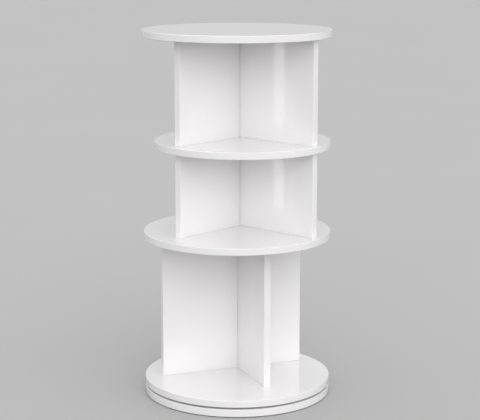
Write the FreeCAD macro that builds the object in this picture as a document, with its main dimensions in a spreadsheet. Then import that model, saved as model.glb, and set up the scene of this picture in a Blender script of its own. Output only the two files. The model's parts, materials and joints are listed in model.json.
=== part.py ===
import FreeCAD, Part
import Sketcher
import math
import os
import re

# Rotating media tower: a round base, a swivel bearing, and a turning stack of
# round shelves that stand on crossed divider panels.
# Millimetres. The origin is on the floor under the turning axis, +Z is up, and
# the panels of the two upper tiers lie along X and Y.

DIMENSIONS = (
    # Round boards
    ("disc_diameter", 400, "base, platter, lower shelf and top"),
    ("base_thickness", 16, "board that stands on the floor"),
    ("platter_thickness", 15, "lowest turning board"),
    ("shelf_thickness", 15, "lower and upper shelf"),
    ("top_thickness", 15, "top board"),
    ("rim_round", 1.2, "rounding of the rims"),
    ("upper_shelf_inset", 26, "upper shelf smaller across than the others"),
    ("upper_shelf_shift", 11.5, "upper shelf off the turning axis"),
    ("upper_shelf_angle", 42, "direction of that shift from +X"),
    # Clear heights
    ("swivel_gap", 4, "open gap between base and platter"),
    ("bottom_tier", 305, "clear height over the platter"),
    ("middle_tier", 178, "clear height over the lower shelf"),
    ("upper_tier", 218, "clear height over the upper shelf"),
    # Divider panels, each arm's end set back along the arm from a board's rim
    ("divider_thickness", 15, "all divider panels"),
    ("divider_round", 1.0, "rounding of the upright end edges"),
    ("lap_clearance", 0.15, "all round the crossing slots"),
    ("spine_x", -26, "crossing line of every tier"),
    ("spine_y", 37, "crossing line of every tier"),
    ("right_setback", 10.2, "upper tiers, +X end to the upper shelf's rim"),
    ("left_setback", 21.6, "upper tiers, -Y end to the upper shelf's rim"),
    ("rear_right_setback", 19.5, "upper tiers, +Y end to the upper shelf's rim"),
    ("rear_left_setback", 15.1, "upper tiers, -X end to the upper shelf's rim"),
    ("bottom_turn", -27, "bottom cross against the upper ones"),
    ("bottom_front_setback", 77.8, "bottom tier, +X end before the turn"),
    ("bottom_left_setback", 37.6, "bottom tier, -Y end before the turn"),
    ("bottom_right_setback", 33.8, "bottom tier, +Y end before the turn"),
    ("bottom_rear_setback", 23.9, "bottom tier, -X end before the turn"),
    # Locating pins, screws and inserts
    ("fixing_near", 45, "inner fixing of each arm, from the crossing"),
    ("fixing_inset", 16, "outer fixing of each arm, from its end"),
    ("pin_diameter", 6, "locating pins"),
    ("pin_in_panel", 20, "length of pin in a panel"),
    ("pin_in_board", 9, "length of pin in a blind board hole"),
    ("pin_clearance", 0.05, "round pins and inserts"),
    ("end_gap", 0.5, "below the end of a pin or screw"),
    ("screw_diameter", 4, "countersunk screws"),
    ("screw_head", 8, "countersunk screws"),
    ("socket_width", 2.5, "hexagon driver socket, across its flats"),
    ("socket_depth", 1.6, "hexagon driver socket"),
    ("screw_clearance", 0.2, "round screws in plain holes"),
    ("thread_clearance", 0.05, "round screws where they bite"),
    ("screw_reach", 12, "platter screw inside its insert"),
    ("insert_diameter", 7, "threaded inserts"),
    ("insert_length", 14, "threaded inserts"),
    ("ring_screw_reach", 8, "ring screw inside its board"),
    # Swivel bearing
    ("ring_diameter", 300, "outside of the lower ring"),
    ("ring_height", 8, "each ring"),
    ("ring_lift", 1, "upper ring above the lower one"),
    ("lower_ring_width", 12, "outer ring"),
    ("upper_ring_width", 14, "inner ring"),
    ("race_gap", 2, "between the two rings"),
    ("recess_clearance", 0.5, "base recess beside the rings"),
    ("ring_screw_inset", 5.5, "screw circle from each ring's plain edge"),
    ("ring_screw_count", 6, "screws in each ring"),
    ("ball_diameter", 5, "bearing balls"),
    ("ball_clearance", 0.3, "round each ball"),
    ("ball_count", 30, "bearing balls"),
    ("cage_thickness", 1.2, "strip between the rings"),
    ("cage_web", 0.7, "strip above and below each ball"),
    ("access_diameter", 12, "driver hole through the base"),
    # Feet
    ("foot_diameter", 28, "pads under the base"),
    ("foot_thickness", 3, "pads under the base"),
    ("foot_drop", 1.5, "pad below the base"),
    ("foot_inset", 30, "pad centres from the rim of the base"),
    ("foot_clearance", 0.1, "round each pad in its recess"),
    ("foot_count", 6, "pads under the base"),
)
NAMES = {name for name, value, note in DIMENSIONS}

# Heights above the floor
BASE_TOP = "foot_drop + base_thickness"
RECESS_DEPTH = "(ring_height + ring_lift - swivel_gap)"
RECESS_FLOOR = BASE_TOP + " - " + RECESS_DEPTH
PLATTER_BOTTOM = BASE_TOP + " + swivel_gap"
PLATTER_TOP = PLATTER_BOTTOM + " + platter_thickness"
LOWER_SHELF_BOTTOM = PLATTER_TOP + " + bottom_tier"
LOWER_SHELF_TOP = LOWER_SHELF_BOTTOM + " + shelf_thickness"
UPPER_SHELF_BOTTOM = LOWER_SHELF_TOP + " + middle_tier"
UPPER_SHELF_TOP = UPPER_SHELF_BOTTOM + " + shelf_thickness"
TOP_BOTTOM = UPPER_SHELF_TOP + " + upper_tier"

# Radii and heights of the bearing, the heights above the recess floor
RING_OUTSIDE = "ring_diameter / 2"
LOWER_RING_INSIDE = RING_OUTSIDE + " - lower_ring_width"
UPPER_RING_OUTSIDE = LOWER_RING_INSIDE + " - race_gap"
UPPER_RING_INSIDE = UPPER_RING_OUTSIDE + " - upper_ring_width"
BALL_CIRCLE = LOWER_RING_INSIDE + " - race_gap / 2"
BALL_LEVEL = "(ring_height + ring_lift) / 2"
BALL_ROOM = "(ball_diameter + 2 * ball_clearance)"
LOWER_SCREW_CIRCLE = RING_OUTSIDE + " - ring_screw_inset"
UPPER_SCREW_CIRCLE = UPPER_RING_INSIDE + " + ring_screw_inset"

# Sizes that two pieces share
PIN_HOLE = "pin_diameter + 2 * pin_clearance"
INSERT_HOLE = "insert_diameter + 2 * pin_clearance"
BITE_HOLE = "screw_diameter + 2 * thread_clearance"
PLAIN_HOLE = "screw_diameter + 2 * screw_clearance"
HEAD_HOLE = "screw_head + 2 * screw_clearance"
SCREW_HEAD_ANGLE = 90
FOOT_CIRCLE = "(disc_diameter / 2 - foot_inset)"
# Corners of a driver socket, counted in half flats and half widths
SOCKET_CORNERS = ((2, 0), (1, 1), (-1, 1), (-2, 0), (-1, -1), (1, -1))

# Upper shelf: size across, and centre from the turning axis
UPPER_SHELF = "(disc_diameter - upper_shelf_inset)"
SHELF_X = "upper_shelf_shift * cos(upper_shelf_angle * 1 deg)"
SHELF_Y = "upper_shelf_shift * sin(upper_shelf_angle * 1 deg)"

# Crossing line from a board's centre, along and across a cross's first panel
UPPER_ALONG = "(spine_x - %s)" % SHELF_X
UPPER_ACROSS = "(spine_y - %s)" % SHELF_Y
BOTTOM_ALONG = "(spine_x * cos(bottom_turn * 1 deg) + spine_y * sin(bottom_turn * 1 deg))"
BOTTOM_ACROSS = "(spine_y * cos(bottom_turn * 1 deg) - spine_x * sin(bottom_turn * 1 deg))"
NO_TURN = "0"


def arms_to_rim(diameter, along, across, right, left, rear_right, rear_left):
    """Arms of a cross: direction before the turn, and length to a board's rim less a set-back."""
    half_chord = "sqrt((%s / 2) ^ 2 - %s ^ 2)"
    first = half_chord % (diameter, across)
    second = half_chord % (diameter, along)
    return (
        ((1, 0), "(%s - %s - %s)" % (first, along, right)),
        ((0, -1), "(%s + %s - %s)" % (second, across, left)),
        ((0, 1), "(%s - %s - %s)" % (second, across, rear_right)),
        ((-1, 0), "(%s + %s - %s)" % (first, along, rear_left)),
    )


UPPER_ARMS = arms_to_rim(UPPER_SHELF, UPPER_ALONG, UPPER_ACROSS, "right_setback", "left_setback",
                         "rear_right_setback", "rear_left_setback")
BOTTOM_ARMS = arms_to_rim("disc_diameter", BOTTOM_ALONG, BOTTOM_ACROSS, "bottom_front_setback",
                          "bottom_left_setback", "bottom_right_setback", "bottom_rear_setback")

doc = FreeCAD.newDocument("media_tower")
subparts = []


def make_sheet():
    """The driving dimensions, one row each: note, number."""
    sheet = doc.addObject("Spreadsheet::Sheet", "dims")
    for row, (name, value, note) in enumerate(DIMENSIONS, 1):
        sheet.set("A%d" % row, note)
        sheet.set("B%d" % row, str(value))
        sheet.setAlias("B%d" % row, name)
    doc.recompute()


def bind(thing, prop, text):
    """Tie a property to an expression in the names of the sheet."""
    words = re.sub(r"[a-z]\w*", lambda word: "dims." + word[0] if word[0] in NAMES else word[0], text)
    thing.setExpression(prop, words)


def new_body(label, height, at_spine=False, turn=NO_TURN):
    """A sub-part on the turning axis, or on the crossing line with a turn."""
    body = doc.addObject("PartDesign::Body", label)
    body.Label = label
    bind(body, "Placement.Base.z", height)
    if at_spine:
        bind(body, "Placement.Base.x", "spine_x")
        bind(body, "Placement.Base.y", "spine_y")
        bind(body, "Placement.Rotation.Angle", turn)
    subparts.append(body)
    return body


def origin_of(body, role):
    """One of the body's own origin planes or axes."""
    return next(item for item in body.Origin.OriginFeatures if item.Role == role)


def new_sketch(body, name, role="XY_Plane", lift="0"):
    """A sketch on an origin plane of the body, lifted along its normal."""
    sketch = body.newObject("Sketcher::SketchObject", name)
    sketch.AttachmentSupport = [(origin_of(body, role), "")]
    sketch.MapMode = "FlatFace"
    bind(sketch, "AttachmentOffset.Base.z", lift)
    return sketch


def move_to_spine(sketch, turn):
    """Shift a board's sketch to the crossing line and turn it with the cross."""
    bind(sketch, "AttachmentOffset.Base.x", "spine_x")
    bind(sketch, "AttachmentOffset.Base.y", "spine_y")
    bind(sketch, "AttachmentOffset.Rotation.Angle", turn)


def set_point(sketch, edge, point, x, y):
    """Dimension a point of a sketch from the sketch origin."""
    for kind, text, axis in (("DistanceX", x, -2), ("DistanceY", y, -1)):
        if text == "0":
            sketch.addConstraint(Sketcher.Constraint("PointOnObject", edge, point, axis))
        else:
            index = sketch.addConstraint(Sketcher.Constraint(kind, -1, 1, edge, point, 1.0))
            bind(sketch, "Constraints[%d]" % index, text)


def add_circle(sketch, diameter, x="0", y="0"):
    """A dimensioned circle."""
    normal = FreeCAD.Vector(0, 0, 1)
    edge = sketch.addGeometry(Part.Circle(FreeCAD.Vector(1, 1, 0), normal, 1))
    set_point(sketch, edge, 3, x, y)
    index = sketch.addConstraint(Sketcher.Constraint("Diameter", edge, 2.0))
    bind(sketch, "Constraints[%d]" % index, diameter)


def add_outline(sketch, corners):
    """A closed outline of straight lines, each corner dimensioned."""
    count = len(corners)
    angles = [2 * math.pi * step / count for step in range(count)]
    starts = [FreeCAD.Vector(math.cos(angle), math.sin(angle), 0) for angle in angles]
    lines = []
    for step in range(count):
        lines.append(sketch.addGeometry(Part.LineSegment(starts[step], starts[(step + 1) % count])))
    for step, (x, y) in enumerate(corners):
        sketch.addConstraint(Sketcher.Constraint("Coincident", lines[step - 1], 2, lines[step], 1))
        set_point(sketch, lines[step], 1, x, y)


def add_pad(body, sketch, length, taper=0):
    """Raise a sketch along its normal."""
    pad = body.newObject("PartDesign::Pad", sketch.Name + "_pad")
    pad.Profile = sketch
    bind(pad, "Length", length)
    pad.TaperAngle = taper
    return pad


def add_pocket(body, sketch, depth, upwards=False):
    """Cut a sketch down into the body, or up into it."""
    pocket = body.newObject("PartDesign::Pocket", sketch.Name + "_pocket")
    pocket.Profile = sketch
    pocket.Reversed = upwards
    bind(pocket, "Length", depth)
    return pocket


def add_countersunk(body, sketch, upwards=False):
    """Through holes for countersunk screws at the circles of a sketch."""
    doc.recompute()
    hole = body.newObject("PartDesign::Hole", sketch.Name + "_hole")
    hole.Profile = sketch
    hole.Reversed = upwards
    hole.ThreadType = "None"
    hole.DepthType = "ThroughAll"
    hole.DrillPoint = "Flat"
    hole.HoleCutType = "Countersink"
    hole.HoleCutCustomValues = True
    hole.HoleCutCountersinkAngle = SCREW_HEAD_ANGLE
    bind(hole, "Diameter", PLAIN_HOLE)
    bind(hole, "HoleCutDiameter", HEAD_HOLE)
    return hole


def add_polar(body, features, count):
    """Repeat features round the turning axis."""
    pattern = body.newObject("PartDesign::PolarPattern", features[0].Name + "_ring")
    pattern.Originals = features
    pattern.Axis = (origin_of(body, "Z_Axis"), [""])
    pattern.Angle = 360
    bind(pattern, "Occurrences", count)
    body.Tip = pattern
    return pattern


def add_round(body, base, is_rounded, radius):
    """Round the edges of a feature that pass a test."""
    doc.recompute()
    edges = ["Edge%d" % number for number, edge in enumerate(base.Shape.Edges, 1) if is_rounded(edge)]
    fillet = body.newObject("PartDesign::Fillet", base.Name + "_round")
    fillet.Base = (base, edges)
    bind(fillet, "Radius", radius)


def fixings_of(arms):
    """The two fixings of each arm of a cross, from the crossing line."""
    places = []
    for (along_x, along_y), arm in arms:
        for distance in ("fixing_near", "(%s - fixing_inset)" % arm):
            x = "%d * %s" % (along_x, distance) if along_x else "0"
            y = "%d * %s" % (along_y, distance) if along_y else "0"
            places.append((x, y))
    return places


def add_circles(sketch, places, diameter):
    """Circles of one size at several places."""
    for x, y in places:
        add_circle(sketch, diameter, x, y)


def make_board(label, height, thickness, diameter="disc_diameter", x="0", y="0"):
    """A round board with rounded rims."""
    body = new_body(label, height)
    plan = new_sketch(body, label + "_plan")
    add_circle(plan, diameter, x, y)
    board = add_pad(body, plan, thickness)
    add_round(body, board, lambda edge: edge.isClosed(), "min(rim_round; %s / 3)" % thickness)
    return body


def board_holes(body, name, lift, arms, turn, diameter):
    """A sketch of the cross fixings on a board."""
    sketch = new_sketch(body, name, lift=lift)
    move_to_spine(sketch, turn)
    add_circles(sketch, fixings_of(arms), diameter)
    return sketch


def make_base():
    """Base board: ring recess above, foot recesses below, driver hole between two feet."""
    body = make_board("base_disc", "foot_drop", "base_thickness")
    recess = new_sketch(body, "ring_recess", lift="base_thickness")
    add_circle(recess, "2 * (%s + recess_clearance)" % RING_OUTSIDE)
    add_circle(recess, "2 * (%s - recess_clearance)" % UPPER_RING_INSIDE)
    add_pocket(body, recess, RECESS_DEPTH)
    access = new_sketch(body, "driver_access")
    add_circle(access, "access_diameter", "(%s) * cos(180 deg / foot_count)" % UPPER_SCREW_CIRCLE,
               "(%s) * sin(180 deg / foot_count)" % UPPER_SCREW_CIRCLE)
    add_pocket(body, access, "base_thickness", upwards=True)
    bite = new_sketch(body, "lower_screw_bite", lift="base_thickness - " + RECESS_DEPTH)
    add_circle(bite, BITE_HOLE, LOWER_SCREW_CIRCLE)
    add_polar(body, [add_pocket(body, bite, "ring_screw_reach + end_gap")], "ring_screw_count")
    seat = new_sketch(body, "foot_seat")
    add_circle(seat, "foot_diameter + 2 * foot_clearance", FOOT_CIRCLE)
    add_polar(body, [add_pocket(body, seat, "foot_thickness - foot_drop", upwards=True)], "foot_count")


def make_feet():
    """Round pads in the underside of the base."""
    body = new_body("rubber_feet", "0")
    plan = new_sketch(body, "foot_plan")
    add_circle(plan, "foot_diameter", FOOT_CIRCLE)
    add_polar(body, [add_pad(body, plan, "foot_thickness")], "foot_count")


def make_ring(label, height, outside, inside, screw_circle, ball_level, upper):
    """A bearing ring: ball track on one side, countersunk screw holes."""
    body = new_body(label, height)
    plan = new_sketch(body, label + "_plan")
    add_circle(plan, "2 * (%s)" % outside)
    add_circle(plan, "2 * (%s)" % inside)
    add_pad(body, plan, "ring_height")
    track = new_sketch(body, label + "_track", "XZ_Plane")
    add_circle(track, BALL_ROOM, BALL_CIRCLE, ball_level)
    groove = body.newObject("PartDesign::Groove", label + "_groove")
    groove.Profile = track
    groove.ReferenceAxis = (track, ["V_Axis"])
    groove.Angle = 360
    screws = new_sketch(body, label + "_screws", lift="0" if upper else "ring_height")
    add_circle(screws, PLAIN_HOLE, screw_circle)
    add_polar(body, [add_countersunk(body, screws, upwards=upper)], "ring_screw_count")


def make_balls():
    """Bearing balls on their circle."""
    body = new_body("bearing_balls", RECESS_FLOOR + " + " + BALL_LEVEL)
    ball = body.newObject("PartDesign::AdditiveSphere", "ball")
    ball.AttachmentSupport = [(origin_of(body, "XY_Plane"), "")]
    ball.MapMode = "FlatFace"
    bind(ball, "AttachmentOffset.Base.x", BALL_CIRCLE)
    bind(ball, "Radius", "ball_diameter / 2")
    add_polar(body, [ball], "ball_count")


def make_cage():
    """Thin upright strip that keeps the balls apart."""
    height = BALL_ROOM + " + 2 * cage_web"
    body = new_body("ball_cage", "%s + %s - (%s) / 2" % (RECESS_FLOOR, BALL_LEVEL, height))
    plan = new_sketch(body, "cage_plan")
    add_circle(plan, "2 * (%s) + cage_thickness" % BALL_CIRCLE)
    add_circle(plan, "2 * (%s) - cage_thickness" % BALL_CIRCLE)
    add_pad(body, plan, height)
    window = new_sketch(body, "ball_window", "YZ_Plane")
    add_circle(window, BALL_ROOM, "0", "(%s) / 2" % height)
    cut = add_pocket(body, window, BALL_CIRCLE + " + cage_thickness", upwards=True)
    add_polar(body, [cut], "ball_count")


def add_socket(sketch, x, y):
    """The outline of a hexagon driver socket."""
    corners = []
    for half_flats, half_widths in SOCKET_CORNERS:
        corner_x = "%s + %d * socket_width / (2 * sqrt(3))" % (x, half_flats)
        corner_y = "%s + %d * socket_width / 2" % (y, half_widths) if half_widths else y
        corners.append((corner_x, corner_y))
    add_outline(sketch, corners)


def add_screws(body, places, length):
    """Countersunk heads with sockets, and shanks that point up from the heads' flat faces."""
    heads = new_sketch(body, body.Name + "_heads")
    add_circles(heads, places, "screw_head")
    head = add_pad(body, heads, "(screw_head - screw_diameter) / 2", taper=-SCREW_HEAD_ANGLE / 2)
    shanks = new_sketch(body, body.Name + "_shanks")
    add_circles(shanks, places, "screw_diameter")
    shank = add_pad(body, shanks, length)
    sockets = new_sketch(body, body.Name + "_sockets")
    for x, y in places:
        add_socket(sockets, x, y)
    return [head, shank, add_pocket(body, sockets, "socket_depth", upwards=True)]


def make_ring_screws(label, height, screw_circle, pointing_down):
    """The screws of one bearing ring."""
    body = new_body(label, height)
    if pointing_down:
        body.Placement.Rotation = FreeCAD.Rotation(FreeCAD.Vector(1, 0, 0), 180)
    parts = add_screws(body, [(screw_circle, "0")], "ring_height + ring_screw_reach")
    add_polar(body, parts, "ring_screw_count")


def make_bearing():
    """Swivel bearing between base and platter."""
    upper_bottom = PLATTER_BOTTOM + " - ring_height"
    make_ring("bearing_lower_ring", RECESS_FLOOR, RING_OUTSIDE, LOWER_RING_INSIDE,
              LOWER_SCREW_CIRCLE, BALL_LEVEL, upper=False)
    make_ring("bearing_upper_ring", upper_bottom, UPPER_RING_OUTSIDE, UPPER_RING_INSIDE,
              UPPER_SCREW_CIRCLE, BALL_LEVEL + " - ring_lift", upper=True)
    make_balls()
    make_cage()
    make_ring_screws("lower_ring_screws", RECESS_FLOOR + " + ring_height", LOWER_SCREW_CIRCLE, True)
    make_ring_screws("upper_ring_screws", upper_bottom, UPPER_SCREW_CIRCLE, False)


def make_platter():
    """Lowest turning board, its screws into the bottom panels and their inserts."""
    body = make_board("bottom_platter", PLATTER_BOTTOM, "platter_thickness")
    screws = board_holes(body, "platter_screw_holes", "0", BOTTOM_ARMS, "bottom_turn", PLAIN_HOLE)
    add_countersunk(body, screws, upwards=True)
    bite = new_sketch(body, "upper_screw_bite")
    add_circle(bite, BITE_HOLE, UPPER_SCREW_CIRCLE)
    add_polar(body, [add_pocket(body, bite, "ring_screw_reach + end_gap", upwards=True)], "ring_screw_count")

    screw_body = new_body("platter_screws", PLATTER_BOTTOM, True, "bottom_turn")
    add_screws(screw_body, fixings_of(BOTTOM_ARMS), "platter_thickness + screw_reach")

    inserts = new_body("divider_inserts", PLATTER_TOP, True, "bottom_turn")
    plan = new_sketch(inserts, "insert_plan")
    add_circles(plan, fixings_of(BOTTOM_ARMS), "insert_diameter")
    add_circles(plan, fixings_of(BOTTOM_ARMS), BITE_HOLE)
    add_pad(inserts, plan, "insert_length")


def make_shelves():
    """Lower shelf, upper shelf and top with their pin holes."""
    blind = "pin_in_board + end_gap"
    lower = make_board("lower_shelf", LOWER_SHELF_BOTTOM, "shelf_thickness")
    below = board_holes(lower, "lower_shelf_below", "0", BOTTOM_ARMS, "bottom_turn", PIN_HOLE)
    add_pocket(lower, below, blind, upwards=True)
    above = board_holes(lower, "lower_shelf_above", "shelf_thickness", UPPER_ARMS, NO_TURN, PIN_HOLE)
    add_pocket(lower, above, blind)

    upper = make_board("upper_shelf", UPPER_SHELF_BOTTOM, "shelf_thickness", UPPER_SHELF, SHELF_X, SHELF_Y)
    through = board_holes(upper, "upper_shelf_through", "0", UPPER_ARMS, NO_TURN, PIN_HOLE)
    add_pocket(upper, through, "shelf_thickness", upwards=True)

    top = make_board("top_disc", TOP_BOTTOM, "top_thickness")
    under = board_holes(top, "top_below", "0", UPPER_ARMS, NO_TURN, PIN_HOLE)
    add_pocket(top, under, blind, upwards=True)


def make_panel(label, height, tier, turn, plus_arm, minus_arm, slot_above, bottom_hole, bottom_depth):
    """A divider panel with a half-height slot where it crosses its partner."""
    body = new_body(label, height, True, turn)
    side = new_sketch(body, label + "_side", "XZ_Plane", "-divider_thickness / 2")
    slot = "(divider_thickness / 2 + lap_clearance)"
    edge = tier if slot_above else "0"
    far_edge = "0" if slot_above else tier
    depth = "(%s / 2 %s lap_clearance)" % (tier, "-" if slot_above else "+")
    add_outline(side, (
        ("-" + minus_arm, far_edge),
        (plus_arm, far_edge),
        (plus_arm, edge),
        (slot, edge),
        (slot, depth),
        ("-" + slot, depth),
        ("-" + slot, edge),
        ("-" + minus_arm, edge),
    ))
    board = add_pad(body, side, "divider_thickness")
    doc.recompute()
    box = board.Shape.BoundBox
    nearly = box.XLength / 1000

    def is_end_edge(line):
        middle = line.BoundBox.Center.x
        is_upright = line.BoundBox.ZLength > box.ZLength / 2
        return is_upright and min(middle - box.XMin, box.XMax - middle) < nearly

    add_round(body, board, is_end_edge, "min(divider_round; divider_thickness / 3)")
    places = (plus_arm + " - fixing_inset", "fixing_inset - " + minus_arm, "fixing_near", "-fixing_near")
    for name, lift, hole, hole_depth, upwards in (
        ("bottom", "0", bottom_hole, bottom_depth, True),
        ("top", tier, PIN_HOLE, "pin_in_panel + end_gap", False),
    ):
        holes = new_sketch(body, "%s_%s_holes" % (label, name), lift=lift)
        for place in places:
            add_circle(holes, hole, place)
        add_pocket(body, holes, hole_depth, upwards)


def make_cross(first, second, height, tier, turn, arms, bottom_hole, bottom_depth):
    """Two panels that cross: the first slotted above, the second below."""
    lengths = dict(arms)
    make_panel(first, height, tier, turn, lengths[(1, 0)], lengths[(-1, 0)], True, bottom_hole, bottom_depth)
    make_panel(second, height, tier, turn + " - 90", lengths[(0, -1)], lengths[(0, 1)], False,
               bottom_hole, bottom_depth)


def make_dividers():
    """The crosses of the three tiers."""
    pin_depth = "pin_in_panel + end_gap"
    make_cross("bottom_front_divider", "bottom_long_divider", PLATTER_TOP, "bottom_tier", "bottom_turn",
               BOTTOM_ARMS, INSERT_HOLE, "insert_length")
    make_cross("middle_right_divider", "middle_left_divider", LOWER_SHELF_TOP, "middle_tier", NO_TURN,
               UPPER_ARMS, PIN_HOLE, pin_depth)
    make_cross("upper_right_divider", "upper_left_divider", UPPER_SHELF_TOP, "upper_tier", NO_TURN,
               UPPER_ARMS, PIN_HOLE, pin_depth)


def make_pins(label, height, length, arms, turn):
    """The locating pins between a cross and a board."""
    body = new_body(label, height, True, turn)
    plan = new_sketch(body, label + "_plan")
    add_circles(plan, fixings_of(arms), "pin_diameter")
    add_pad(body, plan, length)


def make_all_pins():
    """Pins at each board that the platter screws do not hold."""
    blind = "pin_in_panel + pin_in_board"
    through = "shelf_thickness + 2 * pin_in_panel"
    make_pins("lower_shelf_pins_below", LOWER_SHELF_BOTTOM + " - pin_in_panel", blind,
              BOTTOM_ARMS, "bottom_turn")
    make_pins("lower_shelf_pins_above", LOWER_SHELF_TOP + " - pin_in_board", blind, UPPER_ARMS, NO_TURN)
    make_pins("upper_shelf_pins", UPPER_SHELF_BOTTOM + " - pin_in_panel", through, UPPER_ARMS, NO_TURN)
    make_pins("top_pins", TOP_BOTTOM + " - pin_in_panel", blind, UPPER_ARMS, NO_TURN)


def check_document():
    """Stop on a failed object, a cut that took nothing away or a bad solid."""
    doc.recompute()
    for item in doc.Objects:
        if "Invalid" in item.State or "Error" in item.State:
            raise RuntimeError("failed: " + item.Name)
        if item.TypeId in ("PartDesign::Pocket", "PartDesign::Groove", "PartDesign::Hole"):
            if item.Shape.Volume >= item.BaseFeature.Shape.Volume:
                raise RuntimeError("cuts nothing: " + item.Name)
    for body in subparts:
        if body.Shape.isNull() or not body.Shape.isValid() or not body.Shape.Solids:
            raise RuntimeError("bad solid: " + body.Label)


make_sheet()
make_base()
make_feet()
make_bearing()
make_platter()
make_dividers()
make_shelves()
make_all_pins()
check_document()
os.makedirs("parts", exist_ok=True)
for body in subparts:
    body.Shape.exportStep("parts/%s.step" % body.Label)
    print(body.Label, len(body.Shape.Solids), "solids,", round(body.Shape.Volume), "mm3")
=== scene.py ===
import json
import math

import bmesh
import bpy
from mathutils import Euler, Matrix, Vector


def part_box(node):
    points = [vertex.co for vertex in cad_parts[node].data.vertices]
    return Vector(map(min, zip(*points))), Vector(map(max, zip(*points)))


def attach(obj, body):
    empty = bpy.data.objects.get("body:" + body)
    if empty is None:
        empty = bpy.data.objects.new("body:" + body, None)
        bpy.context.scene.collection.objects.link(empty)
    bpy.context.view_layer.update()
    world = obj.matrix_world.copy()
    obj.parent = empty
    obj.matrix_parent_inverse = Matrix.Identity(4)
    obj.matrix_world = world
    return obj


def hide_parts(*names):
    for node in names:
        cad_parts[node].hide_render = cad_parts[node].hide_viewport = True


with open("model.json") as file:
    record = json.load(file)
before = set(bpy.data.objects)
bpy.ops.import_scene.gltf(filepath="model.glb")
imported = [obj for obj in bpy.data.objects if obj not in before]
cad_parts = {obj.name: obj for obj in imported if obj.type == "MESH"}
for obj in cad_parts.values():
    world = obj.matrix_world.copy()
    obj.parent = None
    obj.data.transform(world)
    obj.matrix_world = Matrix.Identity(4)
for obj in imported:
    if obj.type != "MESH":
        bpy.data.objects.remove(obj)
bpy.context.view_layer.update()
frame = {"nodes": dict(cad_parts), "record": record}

# Rotating media tower in white gloss boards. Metres, in the frame of the solids:
# the origin is on the floor under the turning axis and +Z is up.

MM = 0.001

# What the frame says of each node: its finish's slot and the body that carries it
SLOT_OF = {row["node"]: row["material_slot"] for row in frame["record"]["subparts"]}
BODIES = frame["record"]["behaviour"]["bodies"]
BODY_OF = {node: body for body, nodes in BODIES.items() for node in nodes}

# Divider panels: the turn of each tier's cross and its panels, where they cross, and half
# their thickness
CROSS_TURNS = {"bottom": math.radians(-27), "middle": 0.0, "upper": 0.0}
PANELS = {
    tier: [node for node in SLOT_OF if node.startswith(tier) and node.endswith("divider")]
    for tier in CROSS_TURNS
}
ALONG_X_LOW, ALONG_X_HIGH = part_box("upper_right_divider")
ALONG_Y_LOW, ALONG_Y_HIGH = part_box("upper_left_divider")
SPINE = Vector((
    (ALONG_Y_LOW.x + ALONG_Y_HIGH.x) / 2,
    (ALONG_X_LOW.y + ALONG_X_HIGH.y) / 2,
    0.0,
))
PANEL_HALF = (ALONG_X_HIGH.y - ALONG_X_LOW.y) / 2

# White gloss boards: the two shades they vary between, what dims them, and how smooth they are
WHITE_SHADES = ((0.895, 0.881, 0.888, 1.0), (0.915, 0.903, 0.909, 1.0))
DUST_COLOR = (0.60, 0.58, 0.55, 1.0)
# Painted shade and grime along the panels' joints with the boards and at their cross
JOINT_SHADE_COLOR = (0.36, 0.35, 0.35, 1.0)
BOARD_ROUGHNESS = 0.004
COAT_ROUGHNESS = 0.003

# Levels between which nearly all of a noise lies
NOISE_MIDDLE = (0.3, 0.7)

# Small pieces: points in a ring, and the angle past which an edge stays sharp
RING_STEPS = 24
FINE_RING_STEPS = 48
SHARP_ANGLE = math.radians(32)

# Points of a solid's mesh closer than this are one
MERGE_DISTANCE = 0.001 * MM

# The photograph's view; the sensor is in millimetres
IMAGE_WIDTH = 480
FOCAL_PIXELS = 1459.1
SENSOR_WIDTH = 36.0
CAMERA_AZIMUTH = math.radians(42)
CAMERA_DISTANCE = 3.0634
CAMERA_HEIGHT = 0.9948
CAMERA_PITCH = math.radians(11.0415)
CAMERA_YAW = math.radians(0.1127)

# Studio light: an even dome, and soft patches on it by azimuth, height and strength
DOME_LIGHT = 0.93
SOFT_PATCHES = (
    (math.radians(30), math.radians(3), 1.65),
    (math.radians(57), math.radians(28), 1.7),
    (math.radians(105), math.radians(3), 1.3),
)
SOFT_PATCH_FOCUS = 12.0

# How bright the dome and the floor show, straight or mirrored, and what the floor throws back
DOME_SEEN = 0.635
FLOOR_SEEN = 0.48
FLOOR_VARIATION = 0.01
FLOOR_BOUNCE = 0.15
FLOOR_HALF_WIDTH = 60.0

# Strip lamps for the bright upright stripe on the panels of two tiers: where they stand, their
# width, how bright they are at their low and high end, and the levels of these ends
STRIP_PLACE = Vector((0.8913, -1.1697, 0.0))
STRIP_WIDTH = 0.035
STRIP_RADIANCE = (5.2, 11.0)
STRIP_ENDS = {"middle": (0.02, 0.33), "upper": (0.33, 0.68)}


# Node helpers

def add_node(tree, kind, inputs=None, **settings):
    """A node with its settings, and values or sockets for its inputs."""
    node = tree.nodes.new(kind)
    for name, value in settings.items():
        setattr(node, name, value)
    for name, value in (inputs or {}).items():
        if isinstance(value, bpy.types.NodeSocket):
            tree.links.new(node.inputs[name], value)
        else:
            node.inputs[name].default_value = value
    return node


def calc(tree, operation, *terms):
    """A sum on sockets and plain numbers."""
    inputs = dict(enumerate(terms))
    return add_node(tree, "ShaderNodeMath", inputs, operation=operation).outputs[0]


def fade(tree, value, levels, to=(0.0, 1.0)):
    """A soft step between two levels."""
    inputs = {
        "Value": value,
        "From Min": levels[0],
        "From Max": levels[1],
        "To Min": to[0],
        "To Max": to[1],
    }
    settings = {"interpolation_type": "SMOOTHSTEP"}
    return add_node(tree, "ShaderNodeMapRange", inputs, **settings).outputs[0]


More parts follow.
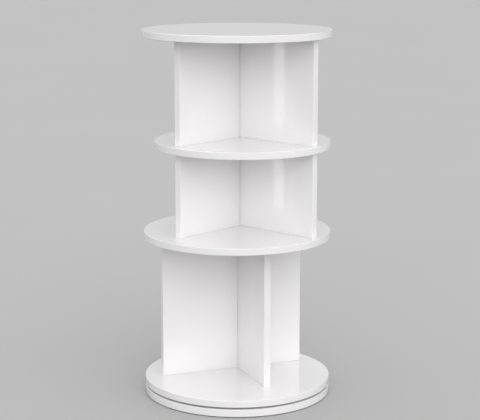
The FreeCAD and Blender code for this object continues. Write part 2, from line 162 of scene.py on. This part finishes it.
def cloud(tree, vector, scale, detail=2.0, stretch=(1.0, 1.0, 1.0), turn=(0.0, 0.0, 0.0)):
    """Noise over the surface, optionally turned and stretched."""
    if stretch != (1.0, 1.0, 1.0) or any(turn):
        inputs = {"Vector": vector, "Rotation": turn, "Scale": stretch}
        vector = add_node(tree, "ShaderNodeMapping", inputs).outputs[0]
    inputs = {"Vector": vector, "Scale": scale, "Detail": detail}
    return add_node(tree, "ShaderNodeTexNoise", inputs).outputs[0]


def scale_for(tree, width):
    """Noise scale that gives features of that width."""
    return calc(tree, "DIVIDE", 1.0, width)


def upward(tree):
    """How far a face is turned upwards: 1 on top, 0 on a wall and -1 underneath."""
    normal = tree.nodes.new("ShaderNodeNewGeometry").outputs["Normal"]
    return add_node(tree, "ShaderNodeSeparateXYZ", {"Vector": normal}).outputs["Z"]


# A Mix node's sockets for numbers and for colours share their names, so they go by place

def tint(tree, share, first, second):
    """One colour fading into another."""
    inputs = {0: share, 6: first, 7: second}
    return add_node(tree, "ShaderNodeMix", inputs, data_type="RGBA").outputs[2]


def mix_numbers(tree, share, first, second):
    """One number fading into another."""
    return add_node(tree, "ShaderNodeMix", {0: share, 2: first, 3: second}).outputs[0]


def grey(level):
    return (level, level, level, 1.0)


def socket_name(word):
    """A socket's name as its node shows it."""
    return word.replace("_", " ").title().replace("Ior", "IOR")


# Shared surface effects

def new_group(name, inputs, outputs):
    """An empty shader group that takes a place and named numbers, and gives named numbers."""
    tree = bpy.data.node_groups.new(name, "ShaderNodeTree")
    tree.interface.new_socket("Vector", in_out="INPUT", socket_type="NodeSocketVector")
    for label, value in inputs.items():
        socket = tree.interface.new_socket(label, in_out="INPUT", socket_type="NodeSocketFloat")
        socket.default_value = value
    for label in outputs:
        tree.interface.new_socket(label, in_out="OUTPUT", socket_type="NodeSocketFloat")
    given = tree.nodes.new("NodeGroupInput").outputs
    result = tree.nodes.new("NodeGroupOutput").inputs
    return tree, given, result


def give_mask(tree, given, result, mask):
    """Put out a group's mask, times the amount that was asked for."""
    tree.links.new(result["Mask"], calc(tree, "MULTIPLY", mask, given["Amount"]))
    return tree


def make_lacquer_ripple():
    """Slow sway and fine peel of a sprayed gloss coat."""
    inputs = {"Peel Width": 4 * MM, "Sway Width": 80 * MM, "Sway Share": 0.6}
    tree, given, result = new_group("lacquer_ripple", inputs, ("Height",))
    peel = cloud(tree, given["Vector"], scale_for(tree, given["Peel Width"]), detail=1.0)
    sway = cloud(tree, given["Vector"], scale_for(tree, given["Sway Width"]), detail=0.0)
    swayed = calc(tree, "MULTIPLY", sway, given["Sway Share"])
    peeled = calc(tree, "MULTIPLY", peel, calc(tree, "SUBTRACT", 1.0, given["Sway Share"]))
    tree.links.new(result["Height"], calc(tree, "ADD", swayed, peeled))
    return tree


def make_wipe_marks():
    """Faint streaks and blots that a cloth and hands leave on a gloss coat."""
    streak_run = {"stretch": (0.06, 1.0, 0.4), "turn": (0.3, 0.2, 0.7)}
    streak_levels, blot_scale, blot_levels = (0.45, 0.75), 42.0, (0.6, 0.72)
    patch_scale, wiped_levels, handled_levels = 7.0, (0.42, 0.62), (0.5, 0.7)
    inputs = {"Streak Width": 6 * MM, "Amount": 1.0}
    tree, given, result = new_group("wipe_marks", inputs, ("Mask",))
    across = scale_for(tree, given["Streak Width"])
    streaks = cloud(tree, given["Vector"], across, **streak_run)
    blots = cloud(tree, given["Vector"], blot_scale, detail=1.0)
    patches = cloud(tree, given["Vector"], patch_scale)
    wiped, handled = fade(tree, patches, wiped_levels), fade(tree, patches, handled_levels)
    rubbed = calc(tree, "MULTIPLY", fade(tree, streaks, streak_levels), wiped)
    touched = calc(tree, "MULTIPLY", fade(tree, blots, blot_levels), handled)
    return give_mask(tree, given, result, calc(tree, "MAXIMUM", rubbed, touched))


def make_settled_dust():
    """Dust that lies on faces turned upwards, in drifts and specks."""
    drift_scale, drift_levels, drift_shares = 11.0, (0.4, 0.75), (0.1, 0.6)
    speck_levels, speck_shares = (0.66, 0.74), (0.0, 0.6)
    level_enough = (0.7, 0.98)
    inputs = {"Speck Width": 1.5 * MM, "Amount": 1.0}
    tree, given, result = new_group("settled_dust", inputs, ("Mask",))
    specks = cloud(tree, given["Vector"], scale_for(tree, given["Speck Width"]), detail=1.0)
    drifts = cloud(tree, given["Vector"], drift_scale, detail=4.0)
    drifts = fade(tree, drifts, drift_levels, drift_shares)
    specks = fade(tree, specks, speck_levels, speck_shares)
    lying = fade(tree, upward(tree), level_enough)
    mask = calc(tree, "MULTIPLY", calc(tree, "ADD", drifts, specks), lying)
    return give_mask(tree, given, result, mask)


def make_hairlines():
    """Fine scratches in two directions."""
    first = {"stretch": (0.02, 1.0, 1.0), "turn": (0.1, 0.3, 0.5)}
    second = {"stretch": (1.0, 0.02, 1.0), "turn": (0.2, 0.1, 0.9)}
    line_levels = (0.74, 0.8)
    inputs = {"Line Width": 0.6 * MM, "Amount": 1.0}
    tree, given, result = new_group("hairlines", inputs, ("Mask",))
    across = scale_for(tree, given["Line Width"])
    lines = [cloud(tree, given["Vector"], across, detail=0.0, **run) for run in (first, second)]
    lines = [fade(tree, line, line_levels) for line in lines]
    return give_mask(tree, given, result, calc(tree, "MAXIMUM", *lines))


def make_edge_rub():
    """Slight loss of gloss on rounded rims, where hands turn the boards."""
    slope_levels, worn_scale, worn_levels = (0.02, 0.2), 60.0, (0.35, 0.65)
    tree, given, result = new_group("edge_rub", {"Amount": 1.0}, ("Mask",))
    up = upward(tree)
    square = calc(tree, "MULTIPLY", up, up)
    slope = calc(tree, "MULTIPLY", square, calc(tree, "SUBTRACT", 1.0, square))
    worn = cloud(tree, given["Vector"], worn_scale, detail=3.0)
    worn = fade(tree, worn, worn_levels)
    mask = calc(tree, "MULTIPLY", fade(tree, slope, slope_levels), worn)
    return give_mask(tree, given, result, mask)


def make_joint_shade():
    """Thin line of painted shade and grime where a panel meets the boards and the panel that it
    crosses.
    """
    uneven_scale, uneven_shares = 30.0, (0.6, 1.0)
    line_levels, line_shares = (0.2, 1.0), (1.0, 0.0)
    inputs = {
        "Low Level": 0.0,
        "High Level": 0.1,
        "Cross Turn": 0.0,
        "Line Width": 1.8 * MM,
        "Amount": 1.0,
    }
    tree, given, result = new_group("joint_shade", inputs, ("Mask",))
    back = calc(tree, "MULTIPLY", given["Cross Turn"], -1.0)
    inputs = {"Vector": given["Vector"], "Center": SPINE, "Angle": back}
    settings = {"rotation_type": "Z_AXIS"}
    squared = add_node(tree, "ShaderNodeVectorRotate", inputs, **settings).outputs[0]
    inputs, settings = {0: squared, 1: SPINE}, {"operation": "SUBTRACT"}
    offset = add_node(tree, "ShaderNodeVectorMath", inputs, **settings).outputs[0]
    place = add_node(tree, "ShaderNodeSeparateXYZ", {"Vector": offset}).outputs
    across, along = calc(tree, "ABSOLUTE", place["X"]), calc(tree, "ABSOLUTE", place["Y"])
    from_cross = calc(tree, "SUBTRACT", calc(tree, "MAXIMUM", across, along), PANEL_HALF)
    from_low = calc(tree, "ABSOLUTE", calc(tree, "SUBTRACT", place["Z"], given["Low Level"]))
    from_high = calc(tree, "ABSOLUTE", calc(tree, "SUBTRACT", place["Z"], given["High Level"]))
    nearest = calc(tree, "MINIMUM", from_cross, calc(tree, "MINIMUM", from_low, from_high))
    share = calc(tree, "DIVIDE", nearest, given["Line Width"])
    uneven = cloud(tree, given["Vector"], uneven_scale, detail=3.0)
    uneven = fade(tree, uneven, NOISE_MIDDLE, uneven_shares)
    mask = calc(tree, "MULTIPLY", fade(tree, share, line_levels, line_shares), uneven)
    return give_mask(tree, given, result, mask)


def make_tool_marks():
    """Fine lines round the turning axis, and a mottle, as a lathe leaves them."""
    mottle_scale, without_z = 90.0, (1.0, 1.0, 0.0)
    tree, given, result = new_group("tool_marks", {"Pitch": 0.4 * MM}, ("Height", "Mottle"))
    inputs, settings = {0: given["Vector"], 1: without_z}, {"operation": "MULTIPLY"}
    flat = add_node(tree, "ShaderNodeVectorMath", inputs, **settings).outputs[0]
    radius = add_node(tree, "ShaderNodeVectorMath", {0: flat}, operation="LENGTH").outputs["Value"]
    steps = calc(tree, "DIVIDE", radius, given["Pitch"])
    inputs, settings = {"W": steps, "Scale": 1.0, "Detail": 1.0}, {"noise_dimensions": "1D"}
    lines = add_node(tree, "ShaderNodeTexNoise", inputs, **settings).outputs[0]
    tree.links.new(result["Height"], lines)
    tree.links.new(result["Mottle"], cloud(tree, given["Vector"], mottle_scale, detail=3.0))
    return tree


def make_moulded_grain():
    """Fine even grain of a moulded surface, and a mottle."""
    mottle_scale = 55.0
    inputs = {"Grain Width": 0.8 * MM}
    tree, given, result = new_group("moulded_grain", inputs, ("Height", "Mottle"))
    fine = scale_for(tree, given["Grain Width"])
    tree.links.new(result["Height"], cloud(tree, given["Vector"], fine, detail=3.0))
    tree.links.new(result["Mottle"], cloud(tree, given["Vector"], mottle_scale, detail=4.0))
    return tree


EFFECTS = {
    "lacquer_ripple": make_lacquer_ripple(),
    "wipe_marks": make_wipe_marks(),
    "settled_dust": make_settled_dust(),
    "hairlines": make_hairlines(),
    "edge_rub": make_edge_rub(),
    "joint_shade": make_joint_shade(),
    "tool_marks": make_tool_marks(),
    "moulded_grain": make_moulded_grain(),
}


# Materials

def new_material(name, **constants):
    """A material with its shader and the object's own coordinates."""
    material = bpy.data.materials.new(name)
    material.use_nodes = True
    tree = material.node_tree
    shader = tree.nodes["Principled BSDF"]
    for word, value in constants.items():
        shader.inputs[socket_name(word)].default_value = value
    place = tree.nodes.new("ShaderNodeTexCoord").outputs["Object"]
    return material, tree, shader, place


def effect(tree, name, place, **values):
    """One of the shared effects with this finish's own values."""
    node = add_node(tree, "ShaderNodeGroup", {"Vector": place}, node_tree=EFFECTS[name])
    for word, value in values.items():
        node.inputs[socket_name(word)].default_value = value
    return node.outputs


def dull(tree, smooth, *marks):
    """Roughness of a surface that each mark adds its share to."""
    roughness = smooth
    for mask, share in marks:
        roughness = calc(tree, "MULTIPLY_ADD", mask, share, roughness)
    return roughness


def feed(tree, shader, color, roughness):
    """Link the worked-out colour and roughness to the shader."""
    tree.links.new(shader.inputs["Base Color"], color)
    tree.links.new(shader.inputs["Roughness"], roughness)


def emboss(tree, shader, height, strength, depth):
    """Link the worked-out relief to the shader."""
    inputs = {"Strength": strength, "Distance": depth, "Height": height}
    tree.links.new(shader.inputs["Normal"], add_node(tree, "ShaderNodeBump", inputs).outputs[0])


def make_white_gloss(name, joints=None):
    """White high-gloss board; a panel also has its low and high joint and the turn of its cross,
    along which shade is painted.
    """
    shade_scale, shade_levels, joint_shade_amount = 5.0, (0.35, 0.65), 0.26
    constants = {"coat_weight": 1.0, "coat_roughness": COAT_ROUGHNESS}
    material, tree, shader, place = new_material(name, **constants)
    ripple = effect(tree, "lacquer_ripple", place, sway_share=0.9)["Height"]
    wipes = effect(tree, "wipe_marks", place, amount=0.6)["Mask"]
    dust = effect(tree, "settled_dust", place, amount=0.1)["Mask"]
    lines = effect(tree, "hairlines", place, amount=0.4)["Mask"]
    rub = effect(tree, "edge_rub", place)["Mask"]
    shade = fade(tree, cloud(tree, place, shade_scale), shade_levels)
    color = tint(tree, shade, *WHITE_SHADES)
    color = tint(tree, dust, color, DUST_COLOR)
    if joints:
        low, high, turn = joints
        values = {"low_level": low, "high_level": high, "cross_turn": turn, "amount": joint_shade_amount}
        # Painted shade and grime in a thin line along the panel's joints and its cross
        joint = effect(tree, "joint_shade", place, **values)["Mask"]
        color = tint(tree, joint, color, JOINT_SHADE_COLOR)
    marks = ((wipes, 0.03), (lines, 0.04), (dust, 0.4), (rub, 0.1))
    feed(tree, shader, color, dull(tree, BOARD_ROUGHNESS, *marks))
    emboss(tree, shader, ripple, strength=0.05, depth=0.4 * MM)
    return material


def make_foot_rubber():
    """Dark rubber of the foot pads."""
    blacks, scuff_color, scuff_share = (grey(0.018), grey(0.04)), (0.2, 0.19, 0.18, 1.0), 0.4
    smooth_to_rough = (0.62, 0.82)
    material, tree, shader, place = new_material("foot_rubber", specular_ior_level=0.3)
    grain = effect(tree, "moulded_grain", place, grain_width=0.6 * MM)
    scuffs = effect(tree, "wipe_marks", place, streak_width=2 * MM)["Mask"]
    black = tint(tree, grain["Mottle"], *blacks)
    scuffed = tint(tree, calc(tree, "MULTIPLY", scuffs, scuff_share), black, scuff_color)
    feed(tree, shader, scuffed, fade(tree, grain["Mottle"], NOISE_MIDDLE, smooth_to_rough))
    emboss(tree, shader, grain["Height"], strength=0.4, depth=0.1 * MM)
    return material


def make_turned_aluminium():
    """Bearing rings with the lines of the lathe."""
    metals, smooth_to_rough, line_share = (grey(0.64), (0.76, 0.77, 0.78, 1.0)), (0.24, 0.4), 0.15
    material, tree, shader, place = new_material("turned_aluminium", metallic=1.0, anisotropic=0.4)
    marks = effect(tree, "tool_marks", place)
    lines = effect(tree, "hairlines", place)["Mask"]
    metal = tint(tree, marks["Mottle"], *metals)
    turned = fade(tree, marks["Height"], NOISE_MIDDLE, smooth_to_rough)
    feed(tree, shader, metal, dull(tree, turned, (lines, line_share)))
    emboss(tree, shader, marks["Height"], strength=0.25, depth=0.05 * MM)
    return material


def make_plated_metal(name, metals, smooth_to_rough, line_width):
    """Small metal fittings: mottled plating, fine lines, dulled patches."""
    line_share = 0.2
    material, tree, shader, place = new_material(name, metallic=1.0)
    grain = effect(tree, "moulded_grain", place, grain_width=line_width)
    lines = effect(tree, "hairlines", place, line_width=line_width)["Mask"]
    metal = tint(tree, fade(tree, grain["Mottle"], NOISE_MIDDLE), *metals)
    patchy = fade(tree, grain["Mottle"], NOISE_MIDDLE, smooth_to_rough)
    feed(tree, shader, metal, dull(tree, patchy, (lines, line_share)))
    emboss(tree, shader, grain["Height"], strength=0.08, depth=0.03 * MM)
    return material


def make_cage_plastic():
    """Dark moulded strip between the balls."""
    darks, smooth_to_rough = (grey(0.07), grey(0.13)), (0.45, 0.6)
    material, tree, shader, place = new_material("cage_plastic")
    grain = effect(tree, "moulded_grain", place, grain_width=0.5 * MM)
    dark = tint(tree, grain["Mottle"], *darks)
    feed(tree, shader, dark, fade(tree, grain["Mottle"], NOISE_MIDDLE, smooth_to_rough))
    emboss(tree, shader, grain["Height"], strength=0.3, depth=0.05 * MM)
    return material


BALL_GREYS = (grey(0.62), grey(0.72))
ZINC_GREYS = ((0.5, 0.51, 0.53, 1.0), (0.66, 0.65, 0.6, 1.0))
PIN_GREYS = (grey(0.5), grey(0.62))
BRASS_YELLOWS = ((0.58, 0.4, 0.15, 1.0), (0.76, 0.57, 0.26, 1.0))
FINISHES = {
    "white_gloss": make_white_gloss("board_gloss"),
    "rubber": make_foot_rubber(),
    "aluminium": make_turned_aluminium(),
    "bearing_steel": make_plated_metal("ball_steel", BALL_GREYS, (0.06, 0.12), 0.3 * MM),
    "cage_plastic": make_cage_plastic(),
    "screw_steel": make_plated_metal("zinc_plate", ZINC_GREYS, (0.28, 0.42), 0.4 * MM),
    "pin_steel": make_plated_metal("ground_steel", PIN_GREYS, (0.22, 0.34), 0.5 * MM),
    "brass": make_plated_metal("brass", BRASS_YELLOWS, (0.2, 0.36), 0.4 * MM),
}


def finish_nodes():
    """Every node in the finish of its slot; the panels of a tier also get painted shade along their
    joints.
    """
    for node, slot in SLOT_OF.items():
        frame["nodes"][node].material_slots[0].material = FINISHES[slot]
    for tier, turn in CROSS_TURNS.items():
        low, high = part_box(PANELS[tier][0])
        gloss = make_white_gloss(tier + "_panel_gloss", (low.z, high.z, turn))
        for node in PANELS[tier]:
            frame["nodes"][node].material_slots[0].material = gloss


# Small pieces: one of each, lofted through rings of points

def ring(radius, level, steps=RING_STEPS):
    """A level ring of points; the radius may be a rule of the angle."""
    points = []
    for step in range(steps):
        angle = 2 * math.pi * step / steps
        reach = radius(angle) if callable(radius) else radius
        points.append(Vector((reach * math.cos(angle), reach * math.sin(angle), level)))
    return points


def loft(name, rings, closed=False):
    """A piece skinned over rings, its ends capped or joined to each other."""
    shape = bmesh.new()
    rows = [[shape.verts.new(point) for point in points] for points in rings]
    steps = len(rows[0])
    pairs = list(zip(rows, rows[1:]))
    if closed:
        pairs.append((rows[-1], rows[0]))
    else:
        shape.faces.new(rows[0])
        shape.faces.new(rows[-1])
    for low, high in pairs:
        for step in range(steps):
            after = (step + 1) % steps
            shape.faces.new((low[step], low[after], high[after], high[step]))
    bmesh.ops.recalc_face_normals(shape, faces=shape.faces[:])
    mesh = bpy.data.meshes.new(name)
    shape.to_mesh(mesh)
    shape.free()
    mesh.polygons.foreach_set("use_smooth", [True] * len(mesh.polygons))
    mesh.set_sharp_from_angle(angle=SHARP_ANGLE)
    piece = bpy.data.objects.new(name, mesh)
    bpy.context.scene.collection.objects.link(piece)
    return piece


def make_foot_pad(height):
    """Round rubber pad with grip ribs under it and a rounded edge."""
    radius, groove, chamfer = 14 * MM, 0.7 * MM, 0.3 * MM
    hub, rib_starts, rib_width = 1.5 * MM, (2.7 * MM, 5.9 * MM, 9.1 * MM), 1.2 * MM
    slope, land_start = 0.3 * MM, 11.9 * MM
    round_off, round_parts = 0.8 * MM, 4
    profile = [(hub, groove)]
    for start in rib_starts:
        top, end = start + slope, start + slope + rib_width
        profile += [(start, groove), (top, 0.0), (end, 0.0), (end + slope, groove)]
    profile += [(land_start, groove), (land_start + slope, 0.0)]
    for part in range(round_parts + 1):
        angle = math.pi / 2 * part / round_parts
        inset, rise = round_off * (1 - math.sin(angle)), round_off * (1 - math.cos(angle))
        profile.append((radius - inset, rise))
    profile += [(radius, height - chamfer), (radius - chamfer, height)]
    return loft("foot_pad", [ring(reach, level, FINE_RING_STEPS) for reach, level in profile])


def hexagon(flats):
    """Rule for the outline of a hexagon of that width across its flats."""
    return lambda angle: flats / 2 / math.cos((angle + math.pi / 6) % (math.pi / 3) - math.pi / 6)


def make_bolt_upwards(length):
    """Countersunk bolt, head down: hexagon socket, cone, and a threaded shank with a lead-in."""
    head, shank, core = 4 * MM, 2 * MM, 1.68 * MM
    socket, socket_depth, chamfer = 2.5 * MM, 1.6 * MM, 0.15 * MM
    pitch, rows_in_pitch = 0.7 * MM, 5
    neck, thread_start, run_out, tip = 0.8 * MM, 1 * MM, 0.8 * MM, 0.5 * MM
    cone = head - shank

    def thread(level):
        def reach(angle):
            turn = (level / pitch - angle / (2 * math.pi)) % 1.0
            return core + (shank - core) * (1 - abs(2 * turn - 1))
        return reach

    profile = [
        (hexagon(socket), socket_depth),
        (hexagon(socket), chamfer),
        (hexagon(socket + 2 * chamfer), 0.0),
        (head - 2 * chamfer, 0.0),
        (head - chamfer, chamfer),
        (shank, cone),
        (shank, cone + neck),
    ]
    level = cone + thread_start
    while level < length - run_out:
        profile.append((thread(level), level))
        level += pitch / rows_in_pitch
    profile += [(core, length - tip), (core - tip, length)]
    return loft("bolt", [ring(reach, level) for reach, level in profile])


def make_bolt_downwards(length):
    """The same bolt, head up."""
    bolt = make_bolt_upwards(length)
    turned = Matrix.Rotation(math.pi, 4, "X")
    bolt.data.transform(Matrix.Translation((0.0, 0.0, length)) @ turned)
    return bolt


def make_insert(length):
    """Threaded sleeve with a knurled wall, plain grooves and chamfered ends."""
    radius, bore, chamfer = 3.5 * MM, 2.05 * MM, 0.3 * MM
    knurl_depth, teeth, points_in_tooth = 0.22 * MM, 18, 4
    bands, groove, slope = 3, 1 * MM, 0.1 * MM
    plain = radius - knurl_depth

    def knurl(angle):
        return radius - knurl_depth * abs(math.cos(teeth * angle / 2))

    outer = [(plain - chamfer, 0.0), (plain, chamfer)]
    step = length / bands
    for band in range(bands):
        low, high = band * step + groove / 2, (band + 1) * step - groove / 2
        outer += [(plain, low), (knurl, low + slope), (knurl, high - slope), (plain, high)]
    outer += [(plain, length - chamfer), (plain - chamfer, length)]
    inner = [(bore + chamfer, length), (bore, length - chamfer)]
    inner += [(bore, chamfer), (bore + chamfer, 0.0)]
    rings = [ring(reach, level, points_in_tooth * teeth) for reach, level in outer + inner]
    return loft("insert", rings, closed=True)


def make_pin(length):
    """Locating pin with shallow flutes and chamfered ends."""
    radius, lead, relief, taper = 3 * MM, 0.8 * MM, 0.1 * MM, 0.6 * MM
    flutes, flute_depth, flute_narrowness = 8, 0.12 * MM, 4
    plain, tip = radius - relief, radius - taper

    def fluted(angle):
        return radius - flute_depth * max(0.0, math.cos(flutes * angle)) ** flute_narrowness

    profile = [(tip, 0.0), (plain, lead), (fluted, 2 * lead)]
    profile += [(fluted, length - 2 * lead), (plain, length - lead), (tip, length)]
    return loft("pin", [ring(reach, level, FINE_RING_STEPS) for reach, level in profile])


def make_ball(height):
    """Bearing ball."""
    radius, rows = height / 2, 14
    tilts = [math.pi * (row + 0.5) / rows for row in range(rows)]
    profile = [(radius * math.sin(tilt), radius * (1 - math.cos(tilt))) for tilt in tilts]
    return loft("ball", [ring(reach, level) for reach, level in profile])


# Sets of small pieces, placed by Geometry Nodes

def make_set_tree():
    """A piece on each point, lifted to its level, turned to face the axis, in its finish."""
    tree = bpy.data.node_groups.new("set_of_pieces", "GeometryNodeTree")
    tree.interface.new_socket("Geometry", in_out="OUTPUT", socket_type="NodeSocketGeometry")
    for label, kind in (
        ("Geometry", "Geometry"),
        ("Piece", "Object"),
        ("Finish", "Material"),
        ("Level", "Float"),
    ):
        tree.interface.new_socket(label, in_out="INPUT", socket_type="NodeSocket" + kind)
    given = tree.nodes.new("NodeGroupInput").outputs
    result = tree.nodes.new("NodeGroupOutput").inputs

    lift = add_node(tree, "ShaderNodeCombineXYZ", {"Z": given["Level"]}).outputs[0]
    inputs = {"Geometry": given["Geometry"], "Offset": lift}
    points = add_node(tree, "GeometryNodeSetPosition", inputs).outputs[0]
    position = tree.nodes.new("GeometryNodeInputPosition").outputs[0]
    place = add_node(tree, "ShaderNodeSeparateXYZ", {"Vector": position}).outputs
    angle = calc(tree, "ARCTAN2", place["Y"], place["X"])
    facing = add_node(tree, "ShaderNodeCombineXYZ", {"Z": angle}).outputs[0]
    piece = add_node(tree, "GeometryNodeObjectInfo", {"Object": given["Piece"]}).outputs["Geometry"]
    inputs = {"Points": points, "Instance": piece, "Rotation": facing}
    placed = add_node(tree, "GeometryNodeInstanceOnPoints", inputs).outputs[0]
    plain = add_node(tree, "GeometryNodeRealizeInstances", {"Geometry": placed}).outputs[0]
    inputs = {"Geometry": plain, "Material": given["Finish"]}
    finished = add_node(tree, "GeometryNodeSetMaterial", inputs).outputs[0]
    tree.links.new(result["Geometry"], finished)
    return tree


def solid_centres(node):
    """The middle of each separate solid of a CAD node, seen from above."""
    shape = bmesh.new()
    shape.from_mesh(frame["nodes"][node].data)
    bmesh.ops.remove_doubles(shape, verts=shape.verts[:], dist=MERGE_DISTANCE)
    left = set(shape.verts)
    centres = []
    while left:
        solid = [left.pop()]
        for vert in solid:
            for edge in vert.link_edges:
                other = edge.other_vert(vert)
                if other in left:
                    left.remove(other)
                    solid.append(other)
        across = [vert.co.x for vert in solid]
        along = [vert.co.y for vert in solid]
        centre = (min(across) + max(across)) / 2, (min(along) + max(along)) / 2, 0.0
        centres.append(centre)
    shape.free()
    return sorted(centres)


def place_set(name, node, tree, make_piece):
    """Make the piece, set it where the node's solids are, and let the set stand for the node."""
    low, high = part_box(node)
    piece = make_piece(high.z - low.z)
    points = bpy.data.meshes.new(name + "_points")
    points.from_pydata(solid_centres(node), [], [])
    group = bpy.data.objects.new(name, points)
    bpy.context.scene.collection.objects.link(group)
    modifier = group.modifiers.new("set", "NODES")
    modifier.node_group = tree
    values = {"Piece": piece, "Finish": FINISHES[SLOT_OF[node]], "Level": low.z}
    for socket in tree.interface.items_tree:
        if socket.in_out == "INPUT" and socket.name in values:
            modifier[socket.identifier] = values[socket.name]
    placed = group.evaluated_get(bpy.context.evaluated_depsgraph_get())
    plain = bpy.data.meshes.new_from_object(placed)
    plain.name = name
    group.modifiers.clear()
    group.data = plain
    bpy.data.meshes.remove(points)
    bpy.data.objects.remove(piece)
    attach(group, BODY_OF[node])
    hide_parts(node)


def make_small_pieces():
    """Feet, bearing balls, bolts, inserts and pins."""
    tree = make_set_tree()
    for name, node, make_piece in (
        ("foot_pads", "rubber_feet", make_foot_pad),
        ("swivel_balls", "bearing_balls", make_ball),
        ("lower_ring_bolts", "lower_ring_screws", make_bolt_downwards),
        ("upper_ring_bolts", "upper_ring_screws", make_bolt_upwards),
        ("platter_bolts", "platter_screws", make_bolt_upwards),
        ("panel_inserts", "divider_inserts", make_insert),
        ("pins_under_lower_shelf", "lower_shelf_pins_below", make_pin),
        ("pins_over_lower_shelf", "lower_shelf_pins_above", make_pin),
        ("pins_through_upper_shelf", "upper_shelf_pins", make_pin),
        ("pins_under_top", "top_pins", make_pin),
    ):
        place_set(name, node, tree, make_piece)


# Stage

def towards(azimuth, height=0.0):
    """Direction from the tower, by the angle round it from the front and the angle up."""
    level = math.cos(height)
    return Vector((math.sin(azimuth) * level, -math.cos(azimuth) * level, math.sin(height)))


def seen_share(tree):
    """One for rays that show the stage, straight or mirrored, and none for its light."""
    path = tree.nodes.new("ShaderNodeLightPath").outputs
    mirrored = calc(tree, "MAXIMUM", path["Is Glossy Ray"], path["Is Transmission Ray"])
    return calc(tree, "MAXIMUM", path["Is Camera Ray"], mirrored)


def make_floor():
    """Plain pale studio floor."""
    patch_scale, smooth_to_rough = 1.3, (0.75, 0.85)
    mesh = bpy.data.meshes.new("studio_floor")
    shape = bmesh.new()
    bmesh.ops.create_grid(shape, x_segments=1, y_segments=1, size=FLOOR_HALF_WIDTH)
    shape.to_mesh(mesh)
    shape.free()
    floor = bpy.data.objects.new("studio_floor", mesh)
    bpy.context.scene.collection.objects.link(floor)
    material, tree, shader, place = new_material("studio_floor")
    patches = cloud(tree, place, patch_scale, detail=3.0)
    dark, light = grey(FLOOR_SEEN - FLOOR_VARIATION), grey(FLOOR_SEEN + FLOOR_VARIATION)
    pale = tint(tree, patches, dark, light)
    color = tint(tree, seen_share(tree), grey(FLOOR_BOUNCE), pale)
    feed(tree, shader, color, fade(tree, patches, NOISE_MIDDLE, smooth_to_rough))
    mesh.materials.append(material)


def make_strip_lamps():
    """Narrow lamps in front; the two panels of a corner mirror them one after the other."""
    for tier, (low, high) in STRIP_ENDS.items():
        strip = bpy.data.lights.new(tier + "_strip", "AREA")
        strip.shape = "RECTANGLE"
        strip.size, strip.size_y = STRIP_WIDTH, high - low
        strip.energy = math.pi * strip.size * strip.size_y
        strip.use_nodes = True
        tree = strip.node_tree
        spot = tree.nodes.new("ShaderNodeNewGeometry").outputs["Parametric"]
        along = add_node(tree, "ShaderNodeSeparateXYZ", {"Vector": spot}).outputs["Y"]
        radiance = mix_numbers(tree, along, *STRIP_RADIANCE)
        tree.links.new(tree.nodes["Emission"].inputs["Strength"], radiance)
        lamp = bpy.data.objects.new(tier + "_strip", strip)
        lamp.location = STRIP_PLACE + Vector((0.0, 0.0, (low + high) / 2))
        lamp.rotation_euler = STRIP_PLACE.to_track_quat("Z", "Y").to_euler()
        lamp.visible_camera = False
        bpy.context.scene.collection.objects.link(lamp)
        # Screened off from all but its tier's panels, or the rims would glint
        panels = bpy.data.collections.new(tier + "_strip_panels")
        for node in PANELS[tier]:
            panels.objects.link(frame["nodes"][node])
        lamp.light_linking.receiver_collection = panels


def make_dome():
    """Soft light from all round, stronger in a few broad patches on the camera's side."""
    world = bpy.data.worlds.new("studio_dome")
    world.use_nodes = True
    tree = world.node_tree
    tree.nodes.clear()
    direction = tree.nodes.new("ShaderNodeTexCoord").outputs["Generated"]
    light = DOME_LIGHT
    for azimuth, height, strength in SOFT_PATCHES:
        inputs, settings = {0: direction, 1: towards(azimuth, height)}, {"operation": "DOT_PRODUCT"}
        facing = add_node(tree, "ShaderNodeVectorMath", inputs, **settings).outputs["Value"]
        patch = calc(tree, "POWER", calc(tree, "MAXIMUM", facing, 0.0), SOFT_PATCH_FOCUS)
        light = calc(tree, "MULTIPLY_ADD", patch, strength, light)
    strength = mix_numbers(tree, seen_share(tree), light, DOME_SEEN)
    inputs = {"Color": grey(1.0), "Strength": strength}
    background = add_node(tree, "ShaderNodeBackground", inputs).outputs[0]
    add_node(tree, "ShaderNodeOutputWorld", {"Surface": background})
    bpy.context.scene.world = world


def make_camera():
    """Camera at the photograph's angle."""
    lens = bpy.data.cameras.new("camera")
    lens.sensor_width = SENSOR_WIDTH
    lens.lens = FOCAL_PIXELS / IMAGE_WIDTH * SENSOR_WIDTH
    camera = bpy.data.objects.new("camera", lens)
    camera.location = CAMERA_DISTANCE * towards(CAMERA_AZIMUTH) + Vector((0.0, 0.0, CAMERA_HEIGHT))
    camera.rotation_euler = Euler((math.pi / 2 - CAMERA_PITCH, 0.0, CAMERA_AZIMUTH - CAMERA_YAW))
    bpy.context.scene.collection.objects.link(camera)
    bpy.context.scene.camera = camera


finish_nodes()
make_small_pieces()
make_floor()
make_strip_lamps()
make_dome()
make_camera()
bpy.context.scene.view_settings.view_transform = "Standard"
